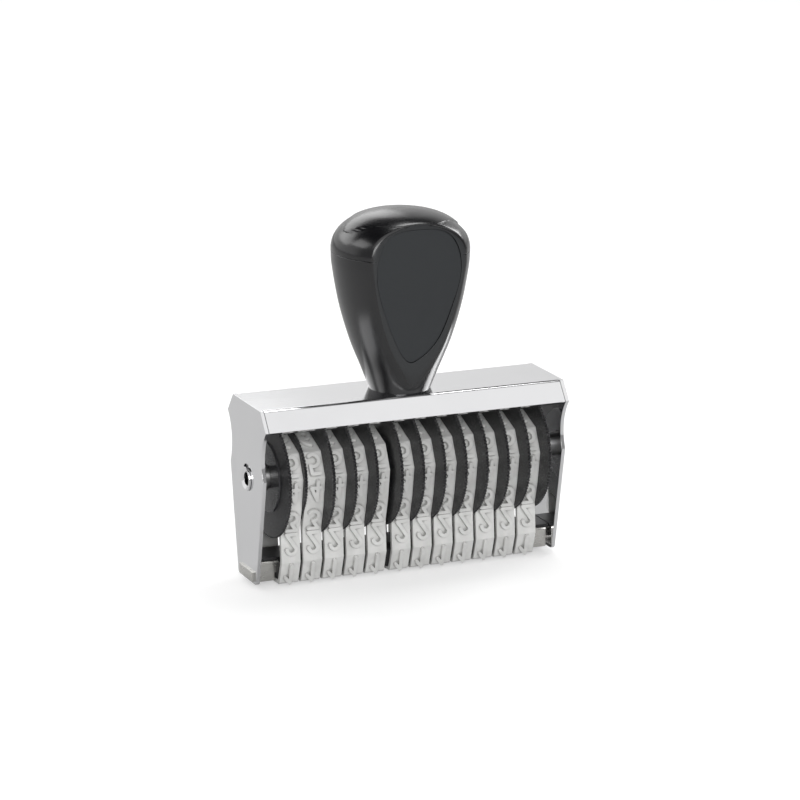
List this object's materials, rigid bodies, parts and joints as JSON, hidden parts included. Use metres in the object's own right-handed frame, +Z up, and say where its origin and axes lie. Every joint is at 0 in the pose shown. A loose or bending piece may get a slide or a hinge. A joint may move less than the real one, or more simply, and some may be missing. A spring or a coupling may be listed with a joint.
{
  "type": "numbering machine",
  "caption": "Hand numbering machine: endless rubber number bands on toothed finger wheels in a bent chrome frame, with a flattened pear-shaped palm handle.",
  "frame": {"origin": "below the middle of the machine, on the surface it stands on", "axes": "+X along the row of wheels, from the end with the flat disc face to the other; -Y the front, +Z up through the handle"},
  "size_m": [0.082, 0.0304, 0.091],
  "materials": {
    "chrome": "bright chrome plate over fine-drawn sheet steel",
    "plain_steel": "plain folded sheet steel, satin",
    "zinc_steel": "zinc-plated steel",
    "platen_plastic": "black moulded nylon",
    "wheel_plastic": "black moulded plastic with turned-looking satin faces",
    "band_rubber": "pale grey moulded rubber",
    "handle_plastic": "black satin-gloss moulded plastic",
    "panel_plastic": "slate grey matt plastic label panel, left bare",
    "insert_brass": "turned brass"
  },
  "bodies": {
    "root": {"frame": "chrome", "platen_channel": "plain_steel", "platen_pad": "platen_plastic", "wheel_axle": "chrome", "spacer_left": "zinc_steel", "spacer_right": "zinc_steel", "band_01": "band_rubber", "band_02": "band_rubber", "band_03": "band_rubber", "band_04": "band_rubber", "band_05": "band_rubber", "band_06": "band_rubber", "band_07": "band_rubber", "band_08": "band_rubber", "band_09": "band_rubber", "band_10": "band_rubber", "band_11": "band_rubber", "band_12": "band_rubber", "handle_body": "handle_plastic", "handle_cap": "handle_plastic", "label_panel_front": "panel_plastic", "label_panel_back": "panel_plastic", "handle_screw": "zinc_steel", "screw_washer": "zinc_steel", "thread_insert": "insert_brass"},
    "wheel_01_body": {"wheel_01": "wheel_plastic"},
    "wheel_02_body": {"wheel_02": "wheel_plastic"},
    "wheel_03_body": {"wheel_03": "wheel_plastic"},
    "wheel_04_body": {"wheel_04": "wheel_plastic"},
    "wheel_05_body": {"wheel_05": "wheel_plastic"},
    "wheel_06_body": {"wheel_06": "wheel_plastic"},
    "wheel_07_body": {"wheel_07": "wheel_plastic"},
    "wheel_08_body": {"wheel_08": "wheel_plastic"},
    "wheel_09_body": {"wheel_09": "wheel_plastic"},
    "wheel_10_body": {"wheel_10": "wheel_plastic"},
    "wheel_11_body": {"wheel_11": "wheel_plastic"},
    "wheel_12_body": {"wheel_12": "wheel_plastic", "end_flange": "wheel_plastic"}
  },
  "joints": [
    {"name": "wheel_01_turn", "type": "hinge", "parent": "root", "child": "wheel_01_body", "pos_m": [0, 0, 0.0268], "axis": [1, 0, 0], "continuous": true},
    {"name": "wheel_02_turn", "type": "hinge", "parent": "root", "child": "wheel_02_body", "pos_m": [0, 0, 0.0268], "axis": [1, 0, 0], "continuous": true},
    {"name": "wheel_03_turn", "type": "hinge", "parent": "root", "child": "wheel_03_body", "pos_m": [0, 0, 0.0268], "axis": [1, 0, 0], "continuous": true},
    {"name": "wheel_04_turn", "type": "hinge", "parent": "root", "child": "wheel_04_body", "pos_m": [0, 0, 0.0268], "axis": [1, 0, 0], "continuous": true},
    {"name": "wheel_05_turn", "type": "hinge", "parent": "root", "child": "wheel_05_body", "pos_m": [0, 0, 0.0268], "axis": [1, 0, 0], "continuous": true},
    {"name": "wheel_06_turn", "type": "hinge", "parent": "root", "child": "wheel_06_body", "pos_m": [0, 0, 0.0268], "axis": [1, 0, 0], "continuous": true},
    {"name": "wheel_07_turn", "type": "hinge", "parent": "root", "child": "wheel_07_body", "pos_m": [0, 0, 0.0268], "axis": [1, 0, 0], "continuous": true},
    {"name": "wheel_08_turn", "type": "hinge", "parent": "root", "child": "wheel_08_body", "pos_m": [0, 0, 0.0268], "axis": [1, 0, 0], "continuous": true},
    {"name": "wheel_09_turn", "type": "hinge", "parent": "root", "child": "wheel_09_body", "pos_m": [0, 0, 0.0268], "axis": [1, 0, 0], "continuous": true},
    {"name": "wheel_10_turn", "type": "hinge", "parent": "root", "child": "wheel_10_body", "pos_m": [0, 0, 0.0268], "axis": [1, 0, 0], "continuous": true},
    {"name": "wheel_11_turn", "type": "hinge", "parent": "root", "child": "wheel_11_body", "pos_m": [0, 0, 0.0268], "axis": [1, 0, 0], "continuous": true},
    {"name": "wheel_12_turn", "type": "hinge", "parent": "root", "child": "wheel_12_body", "pos_m": [0, 0, 0.0268], "axis": [1, 0, 0], "continuous": true}
  ]
}
